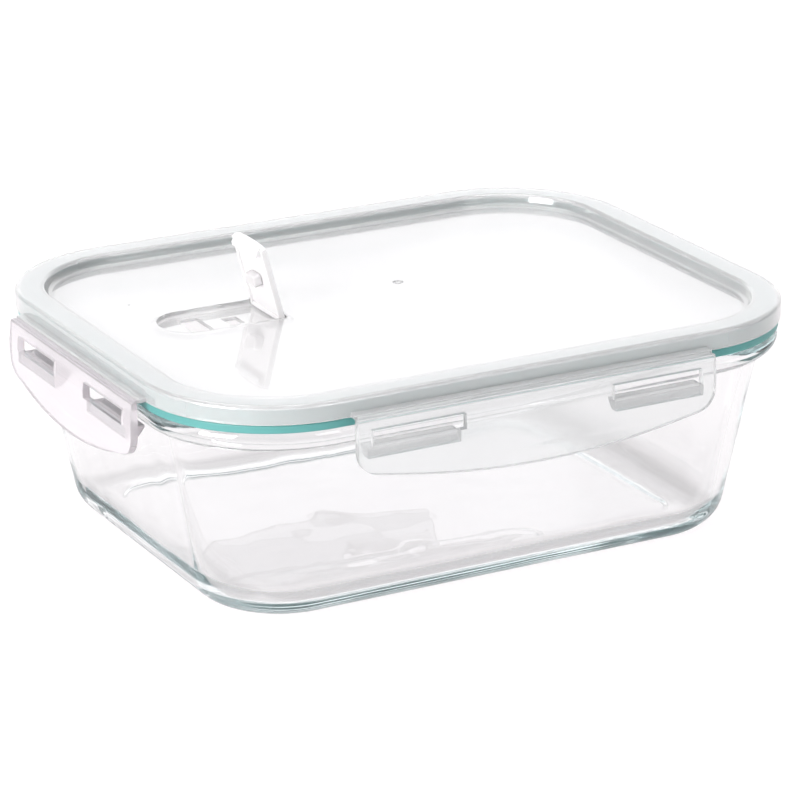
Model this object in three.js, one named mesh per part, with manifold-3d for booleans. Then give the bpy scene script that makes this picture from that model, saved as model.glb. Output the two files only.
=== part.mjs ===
// A glass lunch box with a clip-on lid: a pressed-glass tub, a clear lid with four
// hinged side latches, a silicone seal in the lid's rim and a small hinged steam vent.
// Millimetres, +Z up, X along the long side. The origin is the middle of the underside.
import * as THREE from 'three'
import { mergeVertices } from 'three/addons/utils/BufferGeometryUtils.js'
import Module from 'manifold-3d'

// ---------------------------------------------------------------- driving dimensions

const LENGTH = 225                // lid outline along X
const WIDTH = 181                 // lid outline along Y
const CORNER = 44.5               // lid corner radius in plan
const CORNER_STEPS = 8            // facets in each plan corner

// tub
const TUB_RIM = 70.4              // top of the glass rim
const WALL_FOOT = 18.4            // inset of the outer wall, run down to the ground
const WALL_SLOPE = 0.19           // how far the wall leans out for each millimetre up
const WALL = 4.3                  // glass wall thickness
const FLOOR = 6.0                 // inside floor level
const HEEL_RADIUS = 12            // outer edge between wall and underside
const FLOOR_RADIUS = 9            // inner edge between wall and floor
const FOOT_WIDTH = 7              // flat ring that the tub stands on
const FOOT_HEIGHT = 0.8           // how far the underside is raised inside that ring
const WALL_BEND = [36, 40]        // heights of a profile point in the outer and inner wall
const RIM_ROUND = { drop: 1.2, flat: 1.2, shoulder: [0.3, 0.4] }
const CORNER_EASE = 3             // extra plan corner radius at the foot

// glass bead around the rim
const BEAD = { inset: 4.2, out: 3.2, up: 3.8, neck: 1.2, steps: 7 }

// lid
const LID_TOP = 78.8              // top of the lid's rim
const SKIRT_FOOT = 72.4           // lower edge of the lid's outer skirt
const SKIRT = 1.5                 // skirt thickness
const RIM_WIDTH = 9.9             // width of the raised rim
const RIM_RADIUS = { foot: 2.0, inner: 1.2, outer: 1.3, steps: 3 }
const CHANNEL_TOP = 77.2          // roof of the seal's channel
const CHANNEL_WIDTH = 8.6         // inset of the channel's inner wall
const PANEL_TOP = 75.0
const PANEL = 1.8                 // panel thickness
const PLUG_FOOT = 66.0            // lower edge of the wall that enters the tub
const PLUG = 1.6                  // thickness of that wall
const PLUG_CLEARANCE = 0.6        // air between that wall and the tub

const GAP = 0.3                   // air between parts that nearly touch

// silicone seal: its outer lip hangs over the shoulder of the glass bead
const SEAL = { edge: 0.8, play: 0.4, drip: 0.9, dripWidth: 0.8, bend: [2.3, 0.6], land: 3.4, toe: 0.7 }
const SEAL_HEEL = { side: 2.3, toe: 1 }

// side latches: d runs outwards from the lid's skirt, z upwards
const WEB = { reach: 2.7, shoulder: 0.6, root: 74.1, tip: 73.7, foot: 72.5 }
const EMBED = 1                   // overlap that makes joined solids one body
const LATCH = { inner: 3.1, outer: 5.5, top: 72.9, middleFoot: 48.8, endFoot: 54.4, corner: 7.5 }
const LATCH_TOP = { flare: 0.2, chamfer: [0.7, 0.8] }
const LATCH_TUCK = { from: 66, in: 0.7 }     // the plate leans in above this height
const LATCH_FLARE = { from: 54, out: 0.7, foot: 48 }
const SLOT = { foot: 63.9, top: 68.9 }
const HOOK = { top: 63.2, reach: -2.0, nose: 62.4, foot: 59.6, shoulder: 0.2, shift: 1.2 }
const LONG_LATCH = { half: 64, slotFrom: 26.5, slotTo: 59 }
const SHORT_LATCH = { half: 47.8, slotFrom: 11.5, slotTo: 41.0 }

// steam vent: a strip hinged at one end of a pocket in the lid's panel
const VENT = { x: -41.5, y: 11.1, z: 73.9, raised: 75 }
const STRIP = { length: 25.3, width: 21.6, top: 1.0, thick: 1.1, skirt: 1.9, skirtWall: 1.2, bow: 1.4 }
const KNUCKLE = 1.0               // hinge barrel radius
const NUB = { radius: 0.65, reach: 1.3, clearance: 0.35 }
const LIP = { foot: -2.4, back: 2.4, thick: 1.3, margin: 2 }
const STOPPER = { from: 10.7, to: 14.9, width: 6.6, foot: -3.3 }
const POCKET = { endX: -39.9, tipX: -80.6, floor: 72.6, margin: 0.4, tray: 1.3, wall: 1.6 }
const CATCH_SLOT = { from: 21.8, to: 29.0 }  // opening under the strip's lip, from the hinge
const HOLE_MARGIN = 0.5           // clearance around the stopper in its hole
const OVERCUT = 1                 // how far a cutting solid runs past what it cuts

// ---------------------------------------------------------------- helpers

const wasm = await Module()
wasm.setup()

const radians = THREE.MathUtils.degToRad
const CENTRE = null               // a profile point on the box's vertical axis

// Elliptical arc from one angle to another, in degrees.
function arc(x, y, rx, ry, from, to, steps) {
  const points = []
  for (let i = 0; i <= steps; i++) {
    const angle = radians(from + (to - from) * i / steps)
    points.push([x + rx * Math.cos(angle), y + ry * Math.sin(angle)])
  }
  return points
}

// Plan outline that lies a given distance inside the lid's edge.
function planOutline(inset, ease = 0) {
  const halfX = LENGTH / 2 - inset
  const halfY = WIDTH / 2 - inset
  const radius = CORNER - inset + ease
  const corners = [[1, 1, 0], [-1, 1, 90], [-1, -1, 180], [1, -1, 270]]
  return corners.flatMap(([sx, sy, start]) =>
    arc(sx * (halfX - radius), sy * (halfY - radius), radius, radius, start, start + 90, CORNER_STEPS))
}

// A turned body whose circle is replaced by the rounded rectangle. The profile is a list
// of [inset, z] points that starts and ends on the axis, or closes on itself.
function turnedBody(profile, easeAt = () => 0) {
  const radiusOf = inset => inset === CENTRE ? 0 : WIDTH / 2 - inset
  const points = profile.map(([inset, z]) => new THREE.Vector2(radiusOf(inset), z))
  const segments = 4 * (CORNER_STEPS + 1)
  const geometry = new THREE.LatheGeometry(points, segments)
  const position = geometry.attributes.position
  profile.forEach(([inset, z], row) => {
    const outline = inset === CENTRE ? null : planOutline(inset, easeAt(z))
    for (let i = 0; i <= segments; i++) {
      const [x, y] = outline ? outline[i % segments] : [0, 0]
      position.setXYZ(i * profile.length + row, x, y, z)
    }
  })
  return solid(geometry)
}

// Turn a closed geometry into a solid with its faces pointing out.
function solid(geometry) {
  const bare = new THREE.BufferGeometry()
  bare.setAttribute('position', geometry.attributes.position.clone())
  if (geometry.index) bare.setIndex(geometry.index.clone())
  const merged = mergeVertices(bare, 1e-4)
  const xyz = merged.attributes.position.array
  const index = dropSlivers(merged.index.array)
  if (signedVolume(xyz, index) < 0) index.reverse()
  const mesh = new wasm.Mesh({ numProp: 3, vertProperties: new Float32Array(xyz), triVerts: index })
  return new wasm.Manifold(mesh)
}

function dropSlivers(index) {
  const kept = []
  for (let i = 0; i < index.length; i += 3) {
    const [a, b, c] = [index[i], index[i + 1], index[i + 2]]
    if (a !== b && b !== c && c !== a) kept.push(a, b, c)
  }
  return new Uint32Array(kept)
}

function signedVolume(xyz, index) {
  const corner = i => new THREE.Vector3(xyz[3 * i], xyz[3 * i + 1], xyz[3 * i + 2])
  let total = 0
  for (let i = 0; i < index.length; i += 3) {
    const [a, b, c] = [corner(index[i]), corner(index[i + 1]), corner(index[i + 2])]
    total += a.dot(b.cross(c)) / 6
  }
  return total
}

// Extrude a list of [x, y] points along Z, centred on z = 0.
function prism(points, length) {
  const shape = new THREE.Shape(points.map(([x, y]) => new THREE.Vector2(x, y)))
  const geometry = new THREE.ExtrudeGeometry(shape, { depth: length, bevelEnabled: false })
  geometry.translate(0, 0, -length / 2)
  return geometry
}

function box(x0, x1, y0, y1, z0, z1) {
  const geometry = new THREE.BoxGeometry(x1 - x0, y1 - y0, z1 - z0)
  return solid(geometry.translate((x0 + x1) / 2, (y0 + y1) / 2, (z0 + z1) / 2))
}

function joined(solids) {
  return solids.reduce((whole, piece) => whole.add(piece))
}

function named(name, body, { colour, roughness, opacity = 1 }) {
  const mesh = body.getMesh()
  const geometry = new THREE.BufferGeometry()
  geometry.setAttribute('position', new THREE.BufferAttribute(new Float32Array(mesh.vertProperties), 3))
  geometry.setIndex(new THREE.BufferAttribute(new Uint32Array(mesh.triVerts), 1))
  geometry.computeVertexNormals()
  const material = new THREE.MeshStandardMaterial({ color: colour, roughness, metalness: 0, opacity })
  material.transparent = opacity < 1
  const part = new THREE.Mesh(geometry, material)
  part.name = name
  return part
}

const GLASS = { colour: 0xe6f0ef, roughness: 0.03, opacity: 0.35 }
const LID_PLASTIC = { colour: 0xe4eaee, roughness: 0.18, opacity: 0.6 }
const LATCH_PLASTIC = { colour: 0xefe9ee, roughness: 0.25, opacity: 0.6 }
const SILICONE = { colour: 0x63bdb4, roughness: 0.5 }
const CLEAR_SILICONE = { colour: 0xe9e4e7, roughness: 0.45, opacity: 0.8 }

// ---------------------------------------------------------------- tub

const WALL_LEAN = Math.hypot(1, WALL_SLOPE)
const WALL_ANGLE = 180 + THREE.MathUtils.radToDeg(Math.atan(WALL_SLOPE))

// Inset of the wall's outer face, or of its inner face, at a height.
const outerWall = z => WALL_FOOT - WALL_SLOPE * z
const innerWall = z => outerWall(z) + WALL

// Rounded edge between a wall and the level plane at its foot, from the plane upwards.
function heel(wall, level, radius) {
  const z = level + radius
  const inset = wall(z) + radius * WALL_LEAN
  return arc(inset, z, radius, radius, 270, WALL_ANGLE, 6)
}

function glassTub() {
  const outerHeel = heel(outerWall, 0, HEEL_RADIUS)
  const innerHeel = heel(innerWall, FLOOR, FLOOR_RADIUS).reverse()
  const footEdge = outerHeel[0][0] + FOOT_WIDTH
  const beadMiddle = TUB_RIM - BEAD.up
  const bead = arc(BEAD.inset, beadMiddle, BEAD.out, BEAD.up, 255, 90, BEAD.steps)
  const neck = beadMiddle - BEAD.up - BEAD.neck
  const lip = TUB_RIM - RIM_ROUND.drop
  const [outerBend, innerBend] = WALL_BEND
  const [shoulderIn, shoulderDown] = RIM_ROUND.shoulder
  const profile = [
    [CENTRE, FOOT_HEIGHT], [footEdge + FOOT_HEIGHT, FOOT_HEIGHT], [footEdge, 0],
    ...outerHeel, [outerWall(outerBend), outerBend], [outerWall(neck), neck],
    ...bead, [innerWall(lip) - RIM_ROUND.flat, TUB_RIM],
    [innerWall(lip) - shoulderIn, TUB_RIM - shoulderDown],
    [innerWall(lip), lip], [innerWall(innerBend), innerBend],
    ...innerHeel, [CENTRE, FLOOR]
  ]
  return turnedBody(profile, z => CORNER_EASE * Math.max(0, 1 - z / TUB_RIM))
}

// ---------------------------------------------------------------- lid

// Place a piece drawn for one side: x along the side, d outwards from the skirt, z up.
const SIDES = {
  front: { turn: 0, half: WIDTH / 2, latch: LONG_LATCH },
  right: { turn: 90, half: LENGTH / 2, latch: SHORT_LATCH },
  back: { turn: 180, half: WIDTH / 2, latch: LONG_LATCH },
  left: { turn: 270, half: LENGTH / 2, latch: SHORT_LATCH }
}

// Extrude a section of [d, z] points along one side of the lid, between two places on it.
function sideBar(section, from, to) {
  const geometry = prism(section.map(([d, z]) => [-d, z]), to - from)
  geometry.rotateX(Math.PI / 2).rotateZ(Math.PI / 2)
  return solid(geometry.translate((from + to) / 2, 0, 0))
}

function toSide(body, side) {
  return body.translate([0, -side.half, 0]).rotate([0, 0, side.turn])
}

function lidBlank() {
  const { foot, inner, outer, steps } = RIM_RADIUS
  const under = PANEL_TOP - PANEL
  const plugTop = TUB_RIM + PLUG_CLEARANCE
  const plugFace = z => innerWall(z) + PLUG_CLEARANCE
  const plugBack = plugFace(PLUG_FOOT) + PLUG
  const profile = [
    [CENTRE, PANEL_TOP],
    ...arc(RIM_WIDTH + foot, PANEL_TOP + foot, foot, foot, 270, 180, steps),
    ...arc(RIM_WIDTH - inner, LID_TOP - inner, inner, inner, 0, 90, steps),
    ...arc(outer, LID_TOP - outer, outer, outer, 90, 180, steps),
    [0, SKIRT_FOOT], [SKIRT, SKIRT_FOOT], [SKIRT, CHANNEL_TOP], [CHANNEL_WIDTH, CHANNEL_TOP],
    [CHANNEL_WIDTH, under], [plugFace(plugTop), plugTop], [plugFace(PLUG_FOOT), PLUG_FOOT],
    [plugBack, PLUG_FOOT], [plugBack, under], [CENTRE, under]
  ]
  return turnedBody(profile)
}

// Ledge on the skirt that carries one latch's film hinge.
function hingeWeb(side) {
  const { reach, shoulder, root, tip, foot } = WEB
  const section = [[-EMBED, foot], [reach, foot], [reach, tip], [shoulder, root], [-EMBED, root]]
  const { half } = side.latch
  return toSide(sideBar(section, -half, half), side)
}

// Plan of the vent's pocket: straight sides, with a round end away from the hinge.
function pocketPlan(grow) {
  const half = STRIP.width / 2 + POCKET.margin + grow
  const endX = POCKET.endX + grow
  const middleX = POCKET.tipX - grow + half
  return [[endX, VENT.y - half], [endX, VENT.y + half], ...arc(middleX, VENT.y, half, half, 90, 270, 12)]
}

function pocketBlock(plan, bottom, top) {
  return solid(prism(plan, top - bottom).translate(0, 0, (top + bottom) / 2))
}

// Opening through the pocket's floor, between two distances from the hinge.
function floorHole(from, to, half) {
  const bottom = POCKET.floor - POCKET.tray - OVERCUT
  return box(VENT.x - to, VENT.x - from, VENT.y - half, VENT.y + half, bottom, PANEL_TOP + OVERCUT)
}

function ventPocketSolids() {
  const half = STRIP.width / 2 + POCKET.margin
  const seat = NUB.radius + NUB.clearance
  const tray = pocketBlock(pocketPlan(POCKET.wall), POCKET.floor - POCKET.tray, PANEL_TOP - PANEL / 2)
  const seatHalf = half + NUB.reach
  const hollows = joined([
    pocketBlock(pocketPlan(0), POCKET.floor, PANEL_TOP + OVERCUT),
    floorHole(STOPPER.from - HOLE_MARGIN, STOPPER.to + HOLE_MARGIN, STOPPER.width / 2 + HOLE_MARGIN),
    floorHole(CATCH_SLOT.from, CATCH_SLOT.to, STRIP.width / 2 - LIP.margin + HOLE_MARGIN),
    hingeBarrel(seat, seatHalf).translate([VENT.x, VENT.y, VENT.z]),
    box(VENT.x - seat, VENT.x + seat, VENT.y - seatHalf, VENT.y + seatHalf, VENT.z, PANEL_TOP + OVERCUT)
  ])
  return { tray, hollows }
}

function lid() {
  const { tray, hollows } = ventPocketSolids()
  const webs = Object.values(SIDES).map(hingeWeb)
  return joined([lidBlank(), ...webs, tray]).subtract(hollows)
}

// Silicone seal that fills the channel and shows as a line below the skirt.
function lidSeal() {
  const { edge, play, drip, dripWidth, bend, land, toe } = SEAL
  const foot = TUB_RIM + GAP
  const lipTop = SKIRT_FOOT - GAP
  const top = CHANNEL_TOP - GAP
  const outer = SKIRT + play
  const inner = CHANNEL_WIDTH - play
  const profile = [
    [land, foot], [bend[0], foot - bend[1]], [edge + dripWidth, TUB_RIM - drip],
    [edge, TUB_RIM - drip], [edge, lipTop], [outer, lipTop], [outer, top], [inner, top],
    [inner, foot + SEAL_HEEL.side], [inner + toe, foot + SEAL_HEEL.toe], [inner + toe, foot], [land, foot]
  ]
  return turnedBody(profile)
}

// ---------------------------------------------------------------- latches

// Face outline of a latch: straight top and ends, round lower corners, bowed foot.
function latchOutline(half) {
  const run = half - LATCH.corner
  const rise = LATCH.endFoot - LATCH.middleFoot
  const bow = (run * run + rise * rise) / (2 * rise)
  const sweep = THREE.MathUtils.radToDeg(Math.asin(run / bow))
  const foot = arc(0, LATCH.middleFoot + bow, bow, bow, 270 - sweep, 270 + sweep, 14)
  const corner = LATCH.corner
  const cornerZ = LATCH.endFoot + corner
  return [
    [-half, LATCH.top + 1], [-half, cornerZ],
    ...arc(-run, cornerZ, corner, corner, 180, 250, 4).slice(1), ...foot,
    ...arc(run, cornerZ, corner, corner, 290, 360, 4), [half, LATCH.top + 1]
  ]
}

function latchPlate(half) {
  const { inner, outer, top } = LATCH
  const { from, out, foot } = LATCH_FLARE
  const tuck = LATCH_TUCK.in
  const { flare, chamfer: [chamferIn, chamferDown] } = LATCH_TOP
  const section = [
    [inner - flare, top], [outer - tuck - chamferIn, top], [outer - tuck, top - chamferDown],
    [outer, LATCH_TUCK.from],
    [outer, from], [outer + out, foot], [inner + out, foot], [inner, from]
  ]
  const face = prism(latchOutline(half), 20).rotateX(Math.PI / 2)
  return sideBar(section, -half - 1, half + 1).intersect(solid(face))
}

// Bar inside the latch that snaps under the glass bead.
function latchHook(from, to) {
  const root = LATCH.inner + 0.5
  const section = [
    [root, HOOK.top], [HOOK.reach, HOOK.top], [HOOK.reach, HOOK.nose], [HOOK.shoulder, HOOK.foot],
    [root, HOOK.foot]
  ]
  return sideBar(section, from, to)
}

function latch(side) {
  const { half, slotFrom, slotTo } = side.latch
  const slotDepth = [-LATCH.outer - 2, -LATCH.inner + 1]
  const slots = joined([[slotFrom, slotTo], [-slotTo, -slotFrom]].map(([from, to]) =>
    box(from, to, ...slotDepth, SLOT.foot, SLOT.top)))
  const [hookFrom, hookTo] = [slotFrom + HOOK.shift, slotTo + HOOK.shift]
  const hooks = [latchHook(hookFrom, hookTo), latchHook(-hookTo, -hookFrom)]
  return toSide(joined([latchPlate(half).subtract(slots), ...hooks]), side)
}

// ---------------------------------------------------------------- steam vent

// Barrel along Y through the vent's hinge axis.
function hingeBarrel(radius, half) {
  return solid(new THREE.CylinderGeometry(radius, radius, 2 * half, 16))
}

// Extrude a section of [s, t] points across the strip: s runs from the hinge to the tip
// and t upwards with the strip lying shut.
function acrossStrip(section, width) {
  const geometry = prism(section.map(([s, t]) => [-s, t]), width)
  return solid(geometry.rotateX(Math.PI / 2))
}

function ventStrip() {
  const { length, width, top, thick, skirt, skirtWall, bow } = STRIP
  const tipEdge = arc(0, 0, bow, width / 2, 90, -90, 8).map(([x, y]) => [-length - x, y])
  const outline = [[0, -width / 2], [0, width / 2], ...tipEdge]
  const plate = solid(prism(outline, thick).translate(0, 0, top - thick / 2))
  const rails = [-1, 1].map(sign => {
    const middle = sign * (width - skirtWall) / 2
    return box(-length, 0, middle - skirtWall / 2, middle + skirtWall / 2, top - skirt, top)
  })
  const end = length + bow * 0.6
  const lip = acrossStrip([
    [length, top], [end, top], [end, top - 1], [length - LIP.back + LIP.thick, LIP.foot],
    [length - LIP.back, LIP.foot], [length - 0.4, top - thick]
  ], width - 2 * LIP.margin)
  const barrel = hingeBarrel(KNUCKLE, width / 2)
  const nubs = hingeBarrel(NUB.radius, width / 2 + NUB.reach)
  return joined([plate, ...rails, lip, barrel, nubs])
}

// Soft stopper under the strip that closes the hole in the pocket's floor.
function ventStopper() {
  const underside = STRIP.top - STRIP.thick - GAP
  return box(-STOPPER.to, -STOPPER.from, -STOPPER.width / 2, STOPPER.width / 2, STOPPER.foot, underside)
}

// ---------------------------------------------------------------- assembly

const lunchBox = new THREE.Group()
lunchBox.add(named('glass_tub', glassTub(), GLASS))
lunchBox.add(named('lid', lid(), LID_PLASTIC))
lunchBox.add(named('lid_seal', lidSeal(), SILICONE))
for (const [place, side] of Object.entries(SIDES)) {
  lunchBox.add(named(`${place}_latch`, latch(side), LATCH_PLASTIC))
}

const vent = new THREE.Group()
vent.add(named('vent_strip', ventStrip(), LATCH_PLASTIC))
vent.add(named('vent_stopper', ventStopper(), CLEAR_SILICONE))
vent.position.set(VENT.x, VENT.y, VENT.z)
vent.rotation.y = radians(VENT.raised)
lunchBox.add(vent)

export default lunchBox
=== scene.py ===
import math

import bmesh
import bpy
from mathutils import Matrix, Vector, noise


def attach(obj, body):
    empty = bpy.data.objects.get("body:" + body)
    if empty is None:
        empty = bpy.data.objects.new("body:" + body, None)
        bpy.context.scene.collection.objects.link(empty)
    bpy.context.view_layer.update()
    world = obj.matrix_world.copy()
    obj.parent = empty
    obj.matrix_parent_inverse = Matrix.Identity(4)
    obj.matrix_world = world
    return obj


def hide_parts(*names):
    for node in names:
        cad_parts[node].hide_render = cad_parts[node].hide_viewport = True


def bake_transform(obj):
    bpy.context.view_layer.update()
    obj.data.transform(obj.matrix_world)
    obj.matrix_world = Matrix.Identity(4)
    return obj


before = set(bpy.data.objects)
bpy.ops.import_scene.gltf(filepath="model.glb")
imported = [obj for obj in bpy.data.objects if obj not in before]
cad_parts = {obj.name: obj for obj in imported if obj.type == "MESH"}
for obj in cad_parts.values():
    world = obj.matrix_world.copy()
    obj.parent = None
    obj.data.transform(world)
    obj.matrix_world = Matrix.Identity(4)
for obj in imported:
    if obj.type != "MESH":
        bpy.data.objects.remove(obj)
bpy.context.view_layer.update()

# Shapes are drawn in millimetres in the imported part's frame, and turned into metres
# once, in finished(). A point of a turned profile is (inset from the lid's edge, z).

MM = 0.001
AXIS = None

# ------------------------------------------------------------------ dimensions, mm

LENGTH, WIDTH, CORNER = 225, 181, 44.5
CORNER_STEPS = 22
SIDE_STEPS = {"long": 16, "short": 12}

TUB_RIM = 70.4
WALL_FOOT, WALL_SLOPE, WALL = 18.4, 0.19, 4.3
FLOOR = 6.0
HEEL_RADIUS, FLOOR_RADIUS = 12, 9
FOOT_WIDTH, FOOT_HEIGHT = 7, 0.8
CORNER_EASE = 3
TUB_STEPS = {"heel": 16, "floor": 14, "wall": 9, "cap": 6}
# (how far past the foot's edge, share of the foot's height)
UNDERSIDE = ((6, 1.0), (2.2, 1.0), (1.2, 0.8), (0.5, 0.25), (-0.4, 0.0))
FLOOR_RUN = 10
BEAD_INSET, BEAD_OUT, BEAD_UP, BEAD_NECK = 4.2, 3.2, 3.8, 1.2
LIP_DROP, LIP_STRAIGHT = 1.2, 1.4
RIPPLE = {
    "depth": 0.12, "size": 30, "low": 9.0, "high": 60.0, "fade_in": 4, "fade_out": 6, "spread": 3,
}

LID_TOP, SKIRT_FOOT, SKIRT = 78.8, 72.4, 1.5
RIM_WIDTH, RIM_LEAN = 9.9, (0.7, -0.2)
RIM_RADIUS = {"foot": 1.9, "inner": 1.3, "outer": 1.5}
SKIRT_RADIUS, CHANNEL_RADIUS = 0.35, 0.4
CHANNEL_TOP, CHANNEL_WIDTH = 77.2, 8.6
PANEL_TOP, PANEL = 75.0, 1.8
RIM_COLOUR = {"margin": 1.2, "foot": 72.2}  # the rim has its own tint out from here, and up
PLUG_FOOT, PLUG, PLUG_CLEARANCE = 66.0, 1.6, 0.6
PLUG_SHOULDER = 2.8
PLUG_RADIUS = {"top": 0.6, "foot": 0.5, "root": 0.8}
CAP_MARGIN = {"top": 5, "under": 3}
GAP = 0.3

SEAL = {
    "edge": 0.8, "drip": 0.9, "drip_width": 0.8, "play": 0.4, "bend": (2.3, 0.7), "land": 3.4,
    "seam": 5,
}
SEAL_HEEL = {"side": 2.3, "toe": 1, "reach": 0.7}
SEAL_RADIUS = {
    "land": 0.8, "bend": 0.6, "lip": 0.4, "throat": 0.2, "top": 0.5, "heel": 0.4, "toe": 0.3,
}

WEB = {"reach": 2.7, "shoulder": 0.6, "root": 74.1, "tip": 73.7, "foot": 72.5}
EMBED = 1
FILM = {"start": (2.4, 73.55), "end": (3.9, 72.75), "thick": 0.35, "margin": 1.0, "steps": 6}
LATCH = {
    "inner": 3.1, "outer": 5.5, "top": 72.9, "middle_foot": 48.8, "end_foot": 54.4, "corner": 7.5,
}
LATCH_EDGE = {"seam": 0.5, "lean": 0.2, "drop": 0.1, "inner_radius": 0.3, "outer_radius": 0.7}
LATCH_ARC = {"turn": 82, "short": 1, "lift": 1, "corner_steps": 9, "foot_steps": 36}
LATCH_SPAN = 12                   # spans the plate's depth with its lean and flare
TUCK = {"from": 66, "in": 0.7, "radius": 8}
FLARE = {"from": 54, "out": 0.7, "foot": 48, "radius": 12}
SLOT = {"foot": 63.9, "top": 68.9}
HOOK = {
    "top": 63.2, "reach": -2.0, "nose": 62.4, "foot": 59.6, "shoulder": 0.2, "root": 0.5,
    "shift": 1.2,
}
LONG_LATCH = {"half": 64, "slot_from": 26.5, "slot_to": 59}
SHORT_LATCH = {"half": 47.8, "slot_from": 11.5, "slot_to": 41.0}

VENT = Vector((-41.5, 11.1, 73.9))
RAISED = 75
STRIP = {
    "length": 25.3, "width": 21.6, "top": 1.0, "thick": 1.1, "skirt": 1.9, "wall": 1.2, "bow": 1.4,
    "shoulder": 0.6,
}
KNUCKLE = 1.0
NUB = {"radius": 0.65, "reach": 1.3, "clearance": 0.35}
LIP = {"foot": -2.4, "back": 2.4, "thick": 1.3, "margin": 2, "edge": 1, "share_of_bow": 0.6}
STOPPER = {"from": 10.7, "to": 14.9, "width": 6.6, "foot": -3.3, "radius": 0.9}
POCKET = {"end_x": -39.9, "tip_x": -80.6, "floor": 72.6, "margin": 0.4, "tray": 1.3, "wall": 1.6}
CATCH_SLOT = (21.8, 29.0)
HOLE_MARGIN = 0.5
NEAR = {"along": 3, "across": 2, "gate": 1}     # how far round a detail its edges are rounded
OVERCUT = 1                       # how far a cutting solid runs past what it cuts
FLAT = 0.5                        # degrees between faces that count as one
BEVEL = {
    "web": 0.25, "pocket": 0.22, "gate": 0.12, "plate": 0.42, "hook": 0.3, "strip": 0.2,
    "stopper": 0.35,
}
GATE = {"spot": (8.7, 14.7), "radius": 1.9, "depth": 0.45, "nub": 0.9, "root": 0.3, "sunk": 0.1}
PIN = {"spot": (-80.0, 36.2), "radius": 0.45, "depth": 0.3}

SIDES = {
    "front": (0, WIDTH / 2, LONG_LATCH),
    "right": (90, LENGTH / 2, SHORT_LATCH),
    "back": (180, WIDTH / 2, LONG_LATCH),
    "left": (270, LENGTH / 2, SHORT_LATCH),
}


# ------------------------------------------------------------------ drawing helpers

def arc(cx, cy, radius, start, end, steps):
    """Points along a circle, from one angle to another in degrees."""
    angles = [math.radians(start + (end - start) * i / steps) for i in range(steps + 1)]
    return [(cx + radius * math.cos(a), cy + radius * math.sin(a)) for a in angles]


def filleted(corners, steps_per_turn=64):
    """A polyline of (x, y, radius) corners with each corner rounded to its radius."""
    points = []
    for i, (x, y, radius) in enumerate(corners):
        here = Vector((x, y))
        if radius == 0 or i in (0, len(corners) - 1):
            points.append((x, y))
            continue
        before = (Vector(corners[i - 1][:2]) - here).normalized()
        after = (Vector(corners[i + 1][:2]) - here).normalized()
        half = before.angle(after) / 2
        centre = here + (before + after).normalized() * (radius / math.sin(half))
        start = here + before * (radius / math.tan(half)) - centre
        end = here + after * (radius / math.tan(half)) - centre
        turn = math.atan2(start.x * end.y - start.y * end.x, start.dot(end))
        steps = max(2, round(abs(turn) / (2 * math.pi) * steps_per_turn))
        for k in range(steps + 1):
            spoke = start.copy()
            spoke.rotate(Matrix.Rotation(turn * k / steps, 2))
            points.append(tuple(centre + spoke))
    return points


def circle(centre, radius, steps=24):
    return arc(*centre, radius, 0, 360 - 360 / steps, steps - 1)


def between(a, b, steps):
    """The points strictly between two points, evenly spaced."""
    return [tuple(p + (q - p) * i / steps for p, q in zip(a, b)) for i in range(1, steps)]


def plan_outline(inset, ease=0.0):
    """Rounded rectangle that lies a given distance inside the lid's edge."""
    half_x, half_y = LENGTH / 2 - inset, WIDTH / 2 - inset
    radius = CORNER - inset + ease
    corners = [
        arc(sx * (half_x - radius), sy * (half_y - radius), radius, start, start + 90, CORNER_STEPS)
        for sx, sy, start in ((1, 1, 0), (-1, 1, 90), (-1, -1, 180), (1, -1, 270))
    ]
    points = []
    for i, corner in enumerate(corners):
        following = corners[(i + 1) % 4][0]
        points += corner + between(corner[-1], following, SIDE_STEPS["short" if i % 2 else "long"])
    return points


def turned(profile, ease_at=lambda z: 0.0, cap_rings=0):
    """Vertices and faces of a body turned round the box's axis along the plan outline.

    The profile closes on itself, or starts and ends on AXIS with a level cap, which is
    one face or a web of shrinking rings.
    """
    capped = profile[0][0] is AXIS
    rows = [p for p in profile if p[0] is not AXIS]
    if not capped:
        rows = rows[:-1]
    rings = [[(x, y, z) for x, y in plan_outline(inset, ease_at(z))] for inset, z in rows]
    count = len(rings[0])
    shrink = [(cap_rings + 1 - k) / (cap_rings + 1) for k in range(1, cap_rings + 1)]
    if capped:
        first, last = rings[0], rings[-1]
        lead = [[(x * s, y * s, z) for x, y, z in first] for s in reversed(shrink)]
        tail = [[(x * s, y * s, z) for x, y, z in last] for s in shrink]
        rings = lead + rings + tail
    verts = [v for ring in rings for v in ring]
    faces = []
    pairs = len(rings) - 1 if capped else len(rings)
    for r in range(pairs):
        a, b = r * count, ((r + 1) % len(rings)) * count
        faces += [(a + i, a + (i + 1) % count, b + (i + 1) % count, b + i) for i in range(count)]
    if capped:
        last_ring = (len(rings) - 1) * count
        faces += [tuple(reversed(range(count))), tuple(last_ring + i for i in range(count))]
    return verts, faces


def solid(name, verts, faces):
    """A closed mesh object with its faces pointing out."""
    mesh = bpy.data.meshes.new(name)
    mesh.from_pydata(verts, [], faces)
    work = bmesh.new()
    work.from_mesh(mesh)
    bmesh.ops.remove_doubles(work, verts=work.verts, dist=1e-5)
    bmesh.ops.recalc_face_normals(work, faces=work.faces)
    work.to_mesh(mesh)
    work.free()
    made = bpy.data.objects.new(name, mesh)
    bpy.context.scene.collection.objects.link(made)
    return made


def prism(name, outline, low, high):
    """A column over an outline of (x, y) points, between two heights."""
    n = len(outline)
    verts = [(x, y, low) for x, y in outline] + [(x, y, high) for x, y in outline]
    faces = [tuple(range(n)), tuple(range(n, 2 * n))]
    faces += [(i, (i + 1) % n, n + (i + 1) % n, n + i) for i in range(n)]
    return solid(name, verts, faces)


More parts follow.
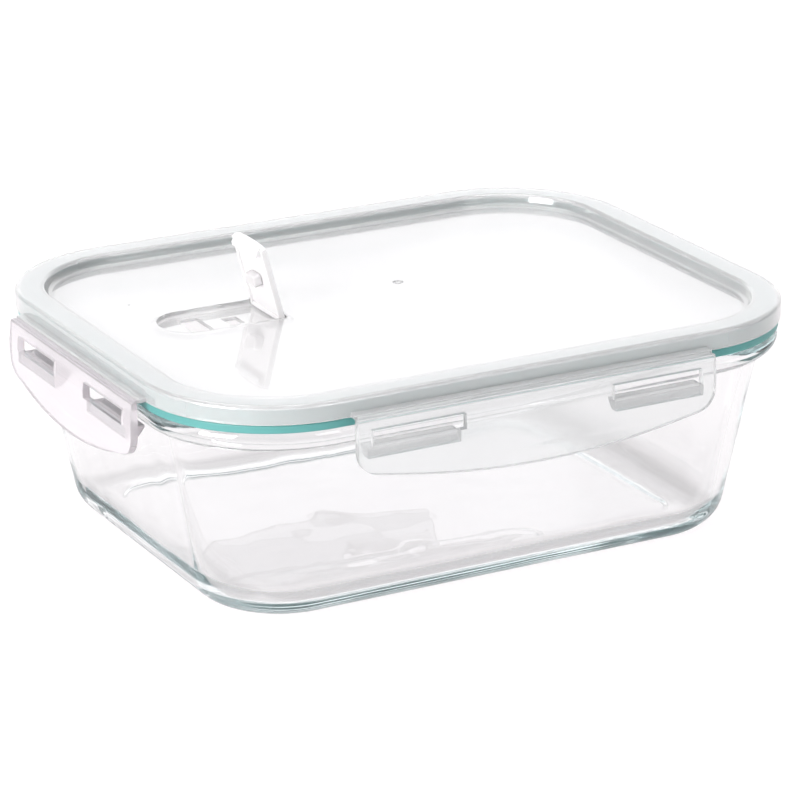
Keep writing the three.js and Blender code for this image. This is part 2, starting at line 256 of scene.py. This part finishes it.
def block(name, x, y, z):
    """A box between pairs of x, y and z."""
    return prism(name, [(x[0], y[0]), (x[1], y[0]), (x[1], y[1]), (x[0], y[1])], *z)


def moved(obj, matrix):
    obj.data.transform(matrix)
    if matrix.determinant() < 0:
        obj.data.flip_normals()
    return obj


def combined(target, tools, operation):
    """Joins tools to target, or cuts them out of it, for good."""
    for tool in tools:
        step = target.modifiers.new(operation, "BOOLEAN")
        step.operation, step.object, step.solver = operation, tool, "EXACT"
        evaluated = target.evaluated_get(bpy.context.evaluated_depsgraph_get())
        result = bpy.data.meshes.new_from_object(evaluated)
        target.modifiers.clear()
        target.data = result
        bpy.data.objects.remove(tool)
    return target


def bevelled(obj, width, angle=32, segments=3, where=None):
    """Rounds the edges that are sharper than an angle."""
    work = bmesh.new()
    work.from_mesh(obj.data)
    bmesh.ops.remove_doubles(work, verts=work.verts, dist=1e-4)
    bmesh.ops.dissolve_degenerate(work, edges=work.edges, dist=1e-4)
    flat = math.radians(FLAT)
    bmesh.ops.dissolve_limit(work, angle_limit=flat, verts=work.verts, edges=work.edges)
    sharp = [
        e for e in work.edges
        if e.is_manifold and e.calc_face_angle(0) > math.radians(angle)
        and (where is None or where(*((e.verts[0].co + e.verts[1].co) / 2)))
    ]
    bmesh.ops.bevel(work, geom=sharp, offset=width, segments=segments, profile=0.5,
                    affect="EDGES", clamp_overlap=True)
    work.to_mesh(obj.data)
    work.free()
    return obj


def along_side(outline, start, end, name="bar"):
    """Extrudes a section of (outwards, z) points along the front side."""
    bar = prism(name, [(z, d) for d, z in outline], start, end)
    lying = Matrix(((0, 0, 1, 0), (0, -1, 0, 0), (1, 0, 0, 0), (0, 0, 0, 1)))
    return moved(bar, lying)


def to_side(obj, side):
    """Moves a body drawn along the front side, out from its edge, to any of the sides."""
    turn, half, _ = SIDES[side]
    shift = Matrix.Translation((0, -half, 0))
    return moved(obj, Matrix.Rotation(math.radians(turn), 4, "Z") @ shift)


# ------------------------------------------------------------------ materials

def node(tree, kind, **inputs):
    made = tree.nodes.new(kind)
    for key, value in inputs.items():
        name = key.replace("_", " ")
        if name in made.inputs:
            made.inputs[name].default_value = value
        else:
            setattr(made, key, value)
    return made


def set_ramp(ramp, stops):
    """Sets a ramp's stops from (position, colour) pairs, in order."""
    while len(ramp.elements) < len(stops):
        ramp.elements.new(1.0)
    for element, (position, colour) in zip(ramp.elements, stops):
        element.position, element.color = position, (*colour, 1)


def tinted(tree, low, high, scale, seed):
    """A soft mottle between two colours, and the noise that drives it."""
    place = node(tree, "ShaderNodeTexCoord")
    shift = node(tree, "ShaderNodeMapping")
    shift.inputs["Location"].default_value = (seed, seed * 0.7, seed * 0.3)
    pattern = node(tree, "ShaderNodeTexNoise", Scale=scale, Detail=3, Roughness=0.5)
    ramp = node(tree, "ShaderNodeValToRGB")
    set_ramp(ramp.color_ramp, ((0.3, low), (0.7, high)))
    tree.links.new(place.outputs["Object"], shift.inputs["Vector"])
    tree.links.new(shift.outputs["Vector"], pattern.inputs["Vector"])
    tree.links.new(pattern.outputs["Fac"], ramp.inputs["Fac"])
    return ramp.outputs["Color"], pattern.outputs["Fac"], shift.outputs["Vector"]


def moulded(name, low, high, *, roughness, clear, bump, bump_scale, seed, ior=1.49, mottle=25,
            grain=0.0, grain_scale=1500, absorb=None, coat=0.0):
    """A moulded or pressed material: mottled tint, uneven gloss, waves and fine grain."""
    material = bpy.data.materials.new(name)
    material.use_nodes = True
    tree = material.node_tree
    shader = tree.nodes["Principled BSDF"]
    colour, cloud, place = tinted(tree, low, high, mottle, seed)
    tree.links.new(colour, shader.inputs["Base Color"])
    gloss = node(tree, "ShaderNodeMapRange")
    gloss.inputs["To Min"].default_value = roughness[0]
    gloss.inputs["To Max"].default_value = roughness[1]
    tree.links.new(cloud, gloss.inputs["Value"])
    tree.links.new(gloss.outputs["Result"], shader.inputs["Roughness"])
    waves = node(tree, "ShaderNodeTexNoise", Scale=bump_scale, Detail=1.0)
    tree.links.new(place, waves.inputs["Vector"])
    rise = node(tree, "ShaderNodeBump", Strength=1.0, Distance=bump * MM)
    tree.links.new(waves.outputs["Fac"], rise.inputs["Height"])
    normal = rise.outputs["Normal"]
    if grain:
        speckle = node(tree, "ShaderNodeTexNoise", Scale=grain_scale, Detail=2.0)
        tree.links.new(place, speckle.inputs["Vector"])
        fine = node(tree, "ShaderNodeBump", Strength=1.0, Distance=grain * MM)
        tree.links.new(speckle.outputs["Fac"], fine.inputs["Height"])
        tree.links.new(normal, fine.inputs["Normal"])
        normal = fine.outputs["Normal"]
    tree.links.new(normal, shader.inputs["Normal"])
    settings = {
        "Transmission Weight": clear, "IOR": ior, "Coat Weight": coat, "Coat Roughness": 0.015,
        "Coat IOR": 1.6,
    }
    for key, value in settings.items():
        shader.inputs[key].default_value = value
    if absorb:
        colour, density = absorb
        inside = node(tree, "ShaderNodeVolumeAbsorption", Density=density)
        inside.inputs["Color"].default_value = (*colour, 1)
        output = tree.nodes["Material Output"]
        tree.links.new(inside.outputs["Volume"], output.inputs["Volume"])
    return material


GLASS = moulded(
    "pressed_glass", (0.99, 0.985, 0.988), (1.0, 1.0, 1.0), roughness=(0.0, 0.01), clear=1.0,
    ior=1.5, bump=0.25, bump_scale=38, absorb=((0.38, 0.74, 0.77), 1.6), seed=1.0)
PANEL_CLEAR = moulded(
    "lid_panel", (0.985, 0.98, 0.985), (1.0, 1.0, 1.0), roughness=(0.14, 0.22), clear=0.72,
    bump=0.02, bump_scale=30, coat=1.0, seed=2.0)
RIM_MILKY = moulded(
    "lid_rim", (0.70, 0.775, 0.93), (0.745, 0.81, 0.96), roughness=(0.12, 0.20), clear=0.28,
    bump=0.03, bump_scale=70, grain=0.003, coat=0.2, seed=3.0)
LATCH_NEUTRAL = moulded(
    "latch_neutral", (0.93, 0.94, 0.945), (0.965, 0.975, 0.975), roughness=(0.06, 0.12), clear=0.76,
    bump=0.05, bump_scale=60, grain=0.002, seed=4.0)
# The side latches take a darker, pinker copy of the latch plastic: its pink is a painted cast of
# the light that falls on them.
LATCH_PINK_LIGHT_CAST = moulded(
    "latch_pink_light_cast", (0.875, 0.84, 0.865), (0.905, 0.87, 0.895), roughness=(0.06, 0.12), clear=0.72,
    bump=0.05, bump_scale=60, grain=0.002, seed=5.0)
# The vent strip's faint pink is a painted cast of the light that falls on it.
VENT_PINK_LIGHT_CAST = moulded(
    "vent_plastic", (0.985, 0.965, 0.975), (0.995, 0.985, 0.99), roughness=(0.08, 0.14), clear=0.2,
    bump=0.04, bump_scale=90, grain=0.002, seed=6.0)
TEAL = moulded(
    "seal_silicone", (0.12, 0.40, 0.385), (0.155, 0.465, 0.445), roughness=(0.32, 0.42), clear=0.25,
    ior=1.42, bump=0.03, bump_scale=120, grain=0.004, seed=7.0)
SOFT_CLEAR = moulded(
    "stopper_silicone", (0.92, 0.90, 0.91), (0.96, 0.95, 0.955), roughness=(0.4, 0.5), clear=0.4,
    ior=1.42, bump=0.03, bump_scale=200, grain=0.004, seed=8.0)


def finished(obj, materials, smooth_angle=38, weighted=True):
    """Scales to metres, gives materials, and shades smooth below an angle."""
    mesh = obj.data
    mesh.transform(Matrix.Scale(MM, 4))
    mesh.materials.clear()
    for material in materials:
        mesh.materials.append(material)
    mesh.shade_smooth()
    mesh.set_sharp_from_angle(angle=math.radians(smooth_angle))
    if weighted:
        even = obj.modifiers.new("even_normals", "WEIGHTED_NORMAL")
        even.keep_sharp = True
    mesh.validate()
    return obj


def placed(obj, body, slot, *nodes):
    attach(obj, body)
    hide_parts(*nodes)
    return obj


# ------------------------------------------------------------------ tub

def outer_wall(z):
    return WALL_FOOT - WALL_SLOPE * z


def inner_wall(z):
    return outer_wall(z) + WALL


def heel(wall, level, radius, steps):
    """Rounded edge from a level plane up into a wall."""
    lean = math.degrees(math.atan(WALL_SLOPE))
    z = level + radius
    inset = wall(z) + radius * math.hypot(1, WALL_SLOPE)
    return arc(inset, z, radius, 270, 180 + lean, steps)


def glass_tub():
    outer = heel(outer_wall, 0, HEEL_RADIUS, TUB_STEPS["heel"])
    inner = heel(inner_wall, FLOOR, FLOOR_RADIUS, TUB_STEPS["floor"])[::-1]
    foot_edge = outer[0][0] + FOOT_WIDTH
    middle = TUB_RIM - BEAD_UP
    neck = middle - BEAD_UP - BEAD_NECK
    turns = [math.radians(a) for a in range(242, 89, -8)]
    bead = [(BEAD_INSET + BEAD_OUT * math.cos(a), middle + BEAD_UP * math.sin(a)) for a in turns]
    lip = TUB_RIM - LIP_DROP
    wall_up = between(outer[-1], (outer_wall(neck), neck), TUB_STEPS["wall"])
    wall_down = between((inner_wall(lip), lip), inner[0], TUB_STEPS["wall"])
    crown = filleted([
        (BEAD_INSET, TUB_RIM, 0), (inner_wall(lip), TUB_RIM, LIP_DROP),
        (inner_wall(lip), lip - LIP_STRAIGHT, 0),
    ])
    profile = [
        (AXIS, FOOT_HEIGHT),
        *((foot_edge + past, FOOT_HEIGHT * share) for past, share in UNDERSIDE),
        *outer, *wall_up, (outer_wall(neck), neck), *bead,
        *crown[1:-1], *wall_down, *inner, (inner[-1][0] + FLOOR_RUN, FLOOR), (AXIS, FLOOR),
    ]

    def ease(z):
        return CORNER_EASE * max(0.0, 1 - z / TUB_RIM)

    return solid("tub", *turned(profile, ease, cap_rings=TUB_STEPS["cap"]))


def rippled(obj, depth, size, low, high, fade_in, fade_out, spread):
    """Presses slow waves into the faces between two heights."""
    mesh = obj.data
    normals = [v.normal.copy() for v in mesh.vertices]
    for vertex, normal in zip(mesh.vertices, normals):
        rising = min(1.0, max(0.0, (vertex.co.z - low) / fade_in))
        falling = min(1.0, max(0.0, (high - vertex.co.z) / fade_out))
        wave = noise.noise(vertex.co / size + normal * spread)
        vertex.co -= normal * (depth * rising * falling * (0.5 + wave))
    return obj


tub = rippled(glass_tub(), **RIPPLE)
tub.name = "tub_glass"
placed(finished(tub, [GLASS], weighted=False), "tub", "glass", "glass_tub")


# ------------------------------------------------------------------ lid

def plug_face(z):
    return inner_wall(z) + PLUG_CLEARANCE


def lid_blank():
    under = PANEL_TOP - PANEL
    plug_top = TUB_RIM + PLUG_CLEARANCE
    foot_in = plug_face(PLUG_FOOT) + PLUG
    wall_foot, wall_top = (RIM_WIDTH + lean for lean in RIM_LEAN)
    top = filleted([
        (RIM_WIDTH + CAP_MARGIN["top"], PANEL_TOP, 0), (wall_foot, PANEL_TOP, RIM_RADIUS["foot"]),
        (wall_top, LID_TOP, RIM_RADIUS["inner"]), (0, LID_TOP, RIM_RADIUS["outer"]),
        (0, SKIRT_FOOT, SKIRT_RADIUS), (SKIRT, SKIRT_FOOT, SKIRT_RADIUS),
        (SKIRT, CHANNEL_TOP, CHANNEL_RADIUS), (CHANNEL_WIDTH, CHANNEL_TOP, CHANNEL_RADIUS),
        (CHANNEL_WIDTH, TUB_RIM + PLUG_SHOULDER, PLUG_RADIUS["top"]),
        (plug_face(plug_top), plug_top, PLUG_RADIUS["top"]),
        (plug_face(PLUG_FOOT), PLUG_FOOT, PLUG_RADIUS["foot"]),
        (foot_in, PLUG_FOOT, PLUG_RADIUS["foot"]), (foot_in, under, PLUG_RADIUS["root"]),
        (foot_in + CAP_MARGIN["under"], under, 0),
    ])
    return solid("lid", *turned([(AXIS, PANEL_TOP), *top, (AXIS, under)]))


def hinge_web(side):
    half = SIDES[side][2]["half"]
    section = [(-EMBED, WEB["foot"]), (WEB["reach"], WEB["foot"]), (WEB["reach"], WEB["tip"]),
               (WEB["shoulder"], WEB["root"]), (-EMBED, WEB["root"])]
    web = bevelled(along_side(section, -half, half, "web"), BEVEL["web"], 30, 2)
    return to_side(web, side)


def pocket_plan(grow, steps=28):
    half = STRIP["width"] / 2 + POCKET["margin"] + grow
    end_x = POCKET["end_x"] + grow
    middle_x = POCKET["tip_x"] - grow + half
    tip = arc(middle_x, VENT.y, half, 90, 270, steps)
    return [(end_x, VENT.y - half), (end_x, VENT.y + half), *tip]


def floor_hole(start, end, half):
    upright = (POCKET["floor"] - POCKET["tray"] - OVERCUT, PANEL_TOP + OVERCUT)
    return block("hole", (VENT.x - end, VENT.x - start), (VENT.y - half, VENT.y + half), upright)


def barrel(radius, half):
    """A round bar along Y through the vent's hinge axis."""
    bar = prism("barrel", circle((0, 0), radius), -half, half)
    return moved(bar, Matrix.Rotation(math.radians(90), 4, "X"))


def vented(lid):
    """Adds the vent's pocket, with its two openings and the seats for the hinge."""
    half = STRIP["width"] / 2 + POCKET["margin"]
    seat = NUB["radius"] + NUB["clearance"]
    reach = half + NUB["reach"]
    over = PANEL_TOP + OVERCUT
    tray_floor = POCKET["floor"] - POCKET["tray"]
    tray = prism("tray", pocket_plan(POCKET["wall"]), tray_floor, PANEL_TOP - PANEL / 2)
    combined(lid, [tray], "UNION")
    across = (VENT.y - reach, VENT.y + reach)
    combined(lid, [
        prism("pocket", pocket_plan(0), POCKET["floor"], over),
        floor_hole(STOPPER["from"] - HOLE_MARGIN, STOPPER["to"] + HOLE_MARGIN,
                   STOPPER["width"] / 2 + HOLE_MARGIN),
        floor_hole(*CATCH_SLOT, STRIP["width"] / 2 - LIP["margin"] + HOLE_MARGIN),
        moved(barrel(seat, reach), Matrix.Translation(VENT)),
        block("way", (VENT.x - seat, VENT.x + seat), across, (VENT.z, over)),
    ], "DIFFERENCE")

    def near_pocket(x, y, z):
        along = POCKET["tip_x"] - NEAR["along"] < x < POCKET["end_x"] + NEAR["along"]
        return along and abs(y - VENT.y) < reach + NEAR["across"]

    return bevelled(lid, BEVEL["pocket"], 40, 2, near_pocket)


def gated(lid):
    """The moulding marks in the panel: a shallow ring round a nub, and a pin's dot."""
    top, over = PANEL_TOP, PANEL_TOP + OVERCUT
    floor = top - GATE["depth"]
    combined(lid, [
        prism("ring", circle(GATE["spot"], GATE["radius"]), floor, over),
        prism("dot", circle(PIN["spot"], PIN["radius"]), top - PIN["depth"], over),
    ], "DIFFERENCE")
    nub = prism("nub", circle(GATE["spot"], GATE["nub"]), floor - GATE["root"], top - GATE["sunk"])
    combined(lid, [nub], "UNION")

    def near_gate(x, y, z):
        away = math.hypot(x - GATE["spot"][0], y - GATE["spot"][1])
        return away < GATE["radius"] + NEAR["gate"]

    return bevelled(lid, BEVEL["gate"], 40, 2, near_gate)


def split_materials(lid):
    """Gives the rim the second material, from a little way up the wall round the panel."""
    for face in lid.data.polygons:
        x, y, z = face.center
        over_x, over_y = abs(x) - (LENGTH / 2 - CORNER), abs(y) - (WIDTH / 2 - CORNER)
        reach = math.hypot(max(over_x, 0), max(over_y, 0)) + min(max(over_x, over_y), 0)
        in_rim = CORNER - reach < RIM_WIDTH + RIM_COLOUR["margin"]
        face.material_index = 1 if in_rim and z > RIM_COLOUR["foot"] else 0


lid = lid_blank()
combined(lid, [hinge_web(side) for side in SIDES], "UNION")
vented(lid)
gated(lid)
split_materials(lid)
lid.name = "lid_cover"
placed(finished(lid, [PANEL_CLEAR, RIM_MILKY]), "lid", "lid_plastic", "lid")


def lid_seal():
    """Fills the rim's channel; its outer lip hangs over the shoulder of the glass."""
    top, lip_top = CHANNEL_TOP - GAP, SKIRT_FOOT - GAP
    foot, drip = TUB_RIM + GAP, TUB_RIM - SEAL["drip"]
    outer, inner = SKIRT + SEAL["play"], CHANNEL_WIDTH - SEAL["play"]
    toe = inner + SEAL_HEEL["reach"]
    bend_in, bend_down = SEAL["bend"]
    edge, radius = SEAL["edge"], SEAL_RADIUS
    profile = filleted([
        (SEAL["seam"], foot, 0), (SEAL["land"], foot, radius["land"]),
        (bend_in, foot - bend_down, radius["bend"]),
        (edge + SEAL["drip_width"], drip, radius["lip"]), (edge, drip, radius["lip"]),
        (edge, lip_top, radius["lip"]), (outer, lip_top, radius["throat"]),
        (outer, top, radius["top"]), (inner, top, radius["top"]),
        (inner, foot + SEAL_HEEL["side"], radius["heel"]),
        (toe, foot + SEAL_HEEL["toe"], radius["toe"]), (toe, foot, radius["toe"]),
        (SEAL["seam"], foot, 0),
    ])
    return solid("seal", *turned(profile))


seal = lid_seal()
seal.name = "lid_seal_ring"
placed(finished(seal, [TEAL]), "lid", "silicone", "lid_seal")


# ------------------------------------------------------------------ latches

def latch_outline(half):
    """Straight top and ends, round lower corners, bowed foot."""
    corner, middle_foot, end_foot = LATCH["corner"], LATCH["middle_foot"], LATCH["end_foot"]
    run, rise = half - corner, end_foot - middle_foot
    bow = (run * run + rise * rise) / (2 * rise)
    sweep = math.degrees(math.asin(run / bow)) - LATCH_ARC["short"]
    turn, steps = LATCH_ARC["turn"], LATCH_ARC["corner_steps"]
    corner_z, top = end_foot + corner, LATCH["top"] + OVERCUT
    return [
        (-half, top), (-half, corner_z + LATCH_ARC["lift"]),
        *arc(-run, corner_z, corner, 180, 180 + turn, steps),
        *arc(0, middle_foot + bow, bow, 270 - sweep, 270 + sweep, LATCH_ARC["foot_steps"]),
        *arc(run, corner_z, corner, 360 - turn, 360, steps),
        (half, corner_z + LATCH_ARC["lift"]), (half, top),
    ]


def latch_plate(half, slots):
    """The plate leans in above TUCK and out below FLARE, and has a window over each hook."""
    inner, outer, top, edge = LATCH["inner"], LATCH["outer"], LATCH["top"], LATCH_EDGE
    seam = inner + edge["seam"]
    section = filleted([
        (seam, top, 0), (inner - edge["lean"], top, edge["inner_radius"]),
        (inner, FLARE["from"], FLARE["radius"]),
        (inner + FLARE["out"], FLARE["foot"], 0), (outer + FLARE["out"], FLARE["foot"], 0),
        (outer, FLARE["from"], FLARE["radius"]), (outer, TUCK["from"], TUCK["radius"]),
        (outer - TUCK["in"], top - edge["drop"], edge["outer_radius"]), (seam, top, 0),
    ], steps_per_turn=200)[:-1]
    plate = along_side(section, -half - OVERCUT, half + OVERCUT, "plate")
    face = prism("face", latch_outline(half), -LATCH_SPAN, LATCH_SPAN)
    combined(plate, [moved(face, Matrix.Rotation(math.radians(90), 4, "X"))], "INTERSECT")
    through, upright = (-outer - 2 * OVERCUT, -inner + OVERCUT), (SLOT["foot"], SLOT["top"])
    combined(plate, [block("slot", run, through, upright) for run in slots], "DIFFERENCE")
    return bevelled(plate, BEVEL["plate"], 40, 3)


def latch_hook(start, end):
    root = LATCH["inner"] + HOOK["root"]
    section = [(root, HOOK["top"]), (HOOK["reach"], HOOK["top"]), (HOOK["reach"], HOOK["nose"]),
               (HOOK["shoulder"], HOOK["foot"]), (root, HOOK["foot"])]
    return bevelled(along_side(section, start, end, "hook"), BEVEL["hook"], 20, 2)


def latch(side):
    form = SIDES[side][2]
    start, end = form["slot_from"], form["slot_to"]
    plate = latch_plate(form["half"], [(start, end), (-end, -start)])
    start, end = start + HOOK["shift"], end + HOOK["shift"]
    combined(plate, [latch_hook(start, end), latch_hook(-end, -start)], "UNION")
    return to_side(plate, side)


def hinge_film(side):
    """The thin strip that joins a latch to the ledge on the lid."""
    half = SIDES[side][2]["half"] - FILM["margin"]
    start, end = FILM["start"], FILM["end"]
    upper = [start, *between(start, end, FILM["steps"]), end]
    lower = [(d, z - FILM["thick"]) for d, z in reversed(upper)]
    return to_side(along_side(upper + lower, -half, half, "film"), side)


# The front and back latches get the plain plastic, the side latches the copy with the painted pink
# cast of the light.
for side in SIDES:
    latch_material = LATCH_NEUTRAL if side in ("front", "back") else LATCH_PINK_LIGHT_CAST
    made = latch(side)
    made.name = f"{side}_latch_cover"
    placed(finished(made, [latch_material]), f"{side}_latch", "latch_plastic", f"{side}_latch")
    film = finished(hinge_film(side), [latch_material], weighted=False)
    film.name = f"{side}_hinge_film"
    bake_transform(film)


# ------------------------------------------------------------------ steam vent

def across_strip(section, width, name):
    """Extrudes a section of (from the hinge, up) points across the strip, lying shut."""
    bar = prism(name, [(-s, t) for s, t in section], -width / 2, width / 2)
    return moved(bar, Matrix.Rotation(math.radians(90), 4, "X"))


def vent_strip():
    """The strip lying shut, with its hinge at the origin: plate, side rails, end lip, hinge."""
    length, width, top, bow = STRIP["length"], STRIP["width"], STRIP["top"], STRIP["bow"]
    half, under = width / 2, top - STRIP["thick"]
    tip = [
        (-length - bow * math.cos(math.radians(a)), half * math.sin(math.radians(a)))
        for a in range(84, -85, -8)
    ]
    shoulder = STRIP["shoulder"] - length
    outline = [(0, -half), (0, half), (shoulder, half), *tip, (shoulder, -half)]
    plate = prism("strip", outline, under, top)
    rails = []
    for sign in (-1, 1):
        middle, reach = sign * (half - STRIP["wall"] / 2), STRIP["wall"] / 2
        across, up = (middle - reach, middle + reach), (top - STRIP["skirt"], top)
        rails.append(block("rail", (-length, 0), across, up))
    end, back = length + bow * LIP["share_of_bow"], length - LIP["back"]
    lip = across_strip([
        (-shoulder, top), (end, top), (end, top - LIP["edge"]), (back + LIP["thick"], LIP["foot"]),
        (back, LIP["foot"]), (-shoulder, under),
    ], width - 2 * LIP["margin"], "lip")
    hinge = [barrel(KNUCKLE, half), barrel(NUB["radius"], half + NUB["reach"])]
    combined(plate, [*rails, lip, *hinge], "UNION")
    return bevelled(plate, BEVEL["strip"], 35, 2)


def vent_stopper():
    half, start, end = STOPPER["width"] / 2, -STOPPER["from"], -STOPPER["to"]
    radius, middle = STOPPER["radius"], (start + end) / 2
    outline = filleted([
        (middle, -half, 0), (start, -half, radius), (start, half, radius),
        (end, half, radius), (end, -half, radius), (middle, -half, 0),
    ])[:-1]
    under = STRIP["top"] - STRIP["thick"] - GAP
    return bevelled(prism("stopper", outline, STOPPER["foot"], under), BEVEL["stopper"], 35, 3)


raise_vent = Matrix.Translation(VENT) @ Matrix.Rotation(math.radians(RAISED), 4, "Y")
strip = moved(vent_strip(), raise_vent)
strip.name = "vent_strip_cover"
placed(finished(strip, [VENT_PINK_LIGHT_CAST]), "vent", "latch_plastic", "vent_strip")
stopper = moved(vent_stopper(), raise_vent)
stopper.name = "vent_stopper_pad"
placed(finished(stopper, [SOFT_CLEAR]), "vent", "clear_silicone", "vent_stopper")


# ------------------------------------------------------------------ studio

WHITE, COOL_WHITE, COOL_GREY = (1.0, 1.0, 1.0), (1.0, 1.0, 1.02), (0.7, 0.7, 0.7 * 1.02)
DOME = (
    (0.0, WHITE), (0.42, COOL_WHITE), (0.55, COOL_GREY), (0.68, COOL_GREY), (0.8, COOL_WHITE),
    (1.0, WHITE),
)
DOME_STRENGTH = 1.1

# Cards in the dome: direction, cosine where each begins, cosine where it is full, and the
# share of light there. Dim ones at the front right, at the left and low behind the camera
# give the glass its edges, and a brighter one at the back puts a sheen on the lid.
CARDS = (
    ((0.78, -0.62, 0.0), 0.2, 0.85, 0.2), ((-0.88, 0.47, 0.0), 0.3, 0.85, 0.25),
    ((-0.47, -0.88, 0.0), 0.5, 0.9, 0.6), ((0.44, 0.83, 0.33), 0.70, 0.90, 1.22),
)
SOFTBOXES = {
    "top_softbox": {"spot": (0.0, 0.3, 1.6), "size": 1.6, "power": 9},
    "left_softbox": {"spot": (-1.58, -0.5, 0.4), "size": 0.9, "power": 31},
    "front_softbox": {"spot": (0.4, -1.5, 0.6), "size": 0.5, "power": 3.5},
}

FLOOR_HALF, FLOOR_LEVEL = 4.0, -0.0003
FLOOR_LOOK = {
    "Base Color": (0.15, 0.15, 0.15, 1), "Roughness": 0.9, "Specular IOR Level": 0.1,
    "Emission Color": (1, 0.97, 0.985, 1),
}
FLOOR_GLOW = 0.94
SHADE_REACH = (0.132, 0.0975)     # half size of the floor's shaded part, metres
SHADE = tuple((position, (glow, glow, glow)) for position, glow in (
    (0.0, 0.81), (0.58, 0.81), (0.65, 0.56), (0.72, 0.56), (0.79, 0.84), (1.0, 0.84)))

CAMERA = {
    "azimuth": -27.992, "elevation": 19.425, "roll": -0.423, "distance": 1.2827, "lens": 173.38,
}
CAMERA_TARGET, CAMERA_SHIFT = Vector((0, 0, 0.0394)), (0.0044, -0.0006)
BOUNCES = {"max_bounces": 96, "transmission_bounces": 96, "glossy_bounces": 64}


def shaded_glow(tree, strength):
    """Floor light: clean white seen straight. To the glass it is a little dimmer, most of all
    round the edge of the tub's foot."""
    place = node(tree, "ShaderNodeTexCoord")
    share = node(tree, "ShaderNodeVectorMath", operation="DIVIDE")
    share.inputs[1].default_value = (*SHADE_REACH, 1)
    parts = node(tree, "ShaderNodeSeparateXYZ")
    furthest = node(tree, "ShaderNodeMath", operation="MAXIMUM")
    shade = node(tree, "ShaderNodeValToRGB")
    set_ramp(shade.color_ramp, SHADE)
    seen = node(tree, "ShaderNodeLightPath")
    glow = node(tree, "ShaderNodeMapRange")
    glow.inputs["To Max"].default_value = FLOOR_GLOW
    tree.links.new(place.outputs["Object"], share.inputs[0])
    tree.links.new(share.outputs[0], parts.inputs[0])
    for i, axis in enumerate("XY"):
        distance = node(tree, "ShaderNodeMath", operation="ABSOLUTE")
        tree.links.new(parts.outputs[axis], distance.inputs[0])
        tree.links.new(distance.outputs[0], furthest.inputs[i])
    tree.links.new(furthest.outputs[0], shade.inputs["Fac"])
    tree.links.new(seen.outputs["Is Camera Ray"], glow.inputs["Value"])
    tree.links.new(shade.outputs["Color"], glow.inputs["To Min"])
    tree.links.new(glow.outputs["Result"], strength)


def pale_floor():
    mesh = bpy.data.meshes.new("studio_floor")
    signs = ((-1, -1), (1, -1), (1, 1), (-1, 1))
    corners = [(x * FLOOR_HALF, y * FLOOR_HALF, FLOOR_LEVEL) for x, y in signs]
    mesh.from_pydata(corners, [], [(0, 1, 2, 3)])
    floor = bpy.data.objects.new("studio_floor", mesh)
    bpy.context.scene.collection.objects.link(floor)
    material = bpy.data.materials.new("studio_floor")
    material.use_nodes = True
    shader = material.node_tree.nodes["Principled BSDF"]
    for name, value in FLOOR_LOOK.items():
        shader.inputs[name].default_value = value
    shaded_glow(material.node_tree, shader.inputs["Emission Strength"])
    mesh.materials.append(material)


def carded(tree, tone, place):
    """Scales the dome's tone where it holds a card."""
    for direction, begin, full, share in CARDS:
        towards = node(tree, "ShaderNodeVectorMath", operation="DOT_PRODUCT")
        towards.inputs[1].default_value = direction
        tree.links.new(place, towards.inputs[0])
        dim = node(tree, "ShaderNodeMapRange", interpolation_type="SMOOTHSTEP")
        limits = {"From Min": begin, "From Max": full, "To Min": 1.0, "To Max": share}
        for name, value in limits.items():
            dim.inputs[name].default_value = value
        tree.links.new(towards.outputs["Value"], dim.inputs["Value"])
        scaled = node(tree, "ShaderNodeVectorMath", operation="SCALE")
        tree.links.new(tone, scaled.inputs[0])
        tree.links.new(dim.outputs["Result"], scaled.inputs["Scale"])
        tone = scaled.outputs[0]
    return tone


def studio_dome():
    world = bpy.context.scene.world = bpy.data.worlds.new("studio")
    world.use_nodes = True
    tree = world.node_tree
    place = node(tree, "ShaderNodeTexCoord").outputs["Generated"]
    split = node(tree, "ShaderNodeSeparateXYZ")
    height = node(tree, "ShaderNodeValToRGB")
    set_ramp(height.color_ramp, DOME)
    tree.links.new(place, split.inputs["Vector"])
    tree.links.new(split.outputs["Z"], height.inputs["Fac"])
    background = tree.nodes["Background"]
    tree.links.new(carded(tree, height.outputs["Color"], place), background.inputs["Color"])
    background.inputs["Strength"].default_value = DOME_STRENGTH


def softboxes():
    for name, box in SOFTBOXES.items():
        light = bpy.data.lights.new(name, "AREA")
        light.shape, light.size, light.energy = "SQUARE", box["size"], box["power"]
        lamp = bpy.data.objects.new(name, light)
        lamp.location = box["spot"]
        lamp.rotation_euler = (-Vector(box["spot"])).to_track_quat("-Z", "Y").to_euler()
        bpy.context.scene.collection.objects.link(lamp)


def light_paths():
    """Light has to find its way out of thick pressed glass."""
    for name, bounces in BOUNCES.items():
        setattr(bpy.context.scene.cycles, name, bounces)


def camera():
    azimuth, elevation, roll = (math.radians(CAMERA[k]) for k in ("azimuth", "elevation", "roll"))
    level = math.cos(elevation)
    back = Vector((math.sin(azimuth) * level, -math.cos(azimuth) * level, math.sin(elevation)))
    data = bpy.data.cameras.new("camera")
    data.sensor_width, data.lens = 36, CAMERA["lens"]
    data.shift_x, data.shift_y = CAMERA_SHIFT
    data.clip_start, data.clip_end = 0.05, 50
    made = bpy.data.objects.new("camera", data)
    made.rotation_mode = "QUATERNION"
    made.location = CAMERA_TARGET + back * CAMERA["distance"]
    rolled = Matrix.Rotation(roll, 3, "Z").to_quaternion()
    made.rotation_quaternion = back.to_track_quat("Z", "Y") @ rolled
    bpy.context.scene.collection.objects.link(made)
    bpy.context.scene.camera = made


pale_floor()
studio_dome()
softboxes()
light_paths()
camera()
bpy.context.scene.view_settings.view_transform = "Standard"
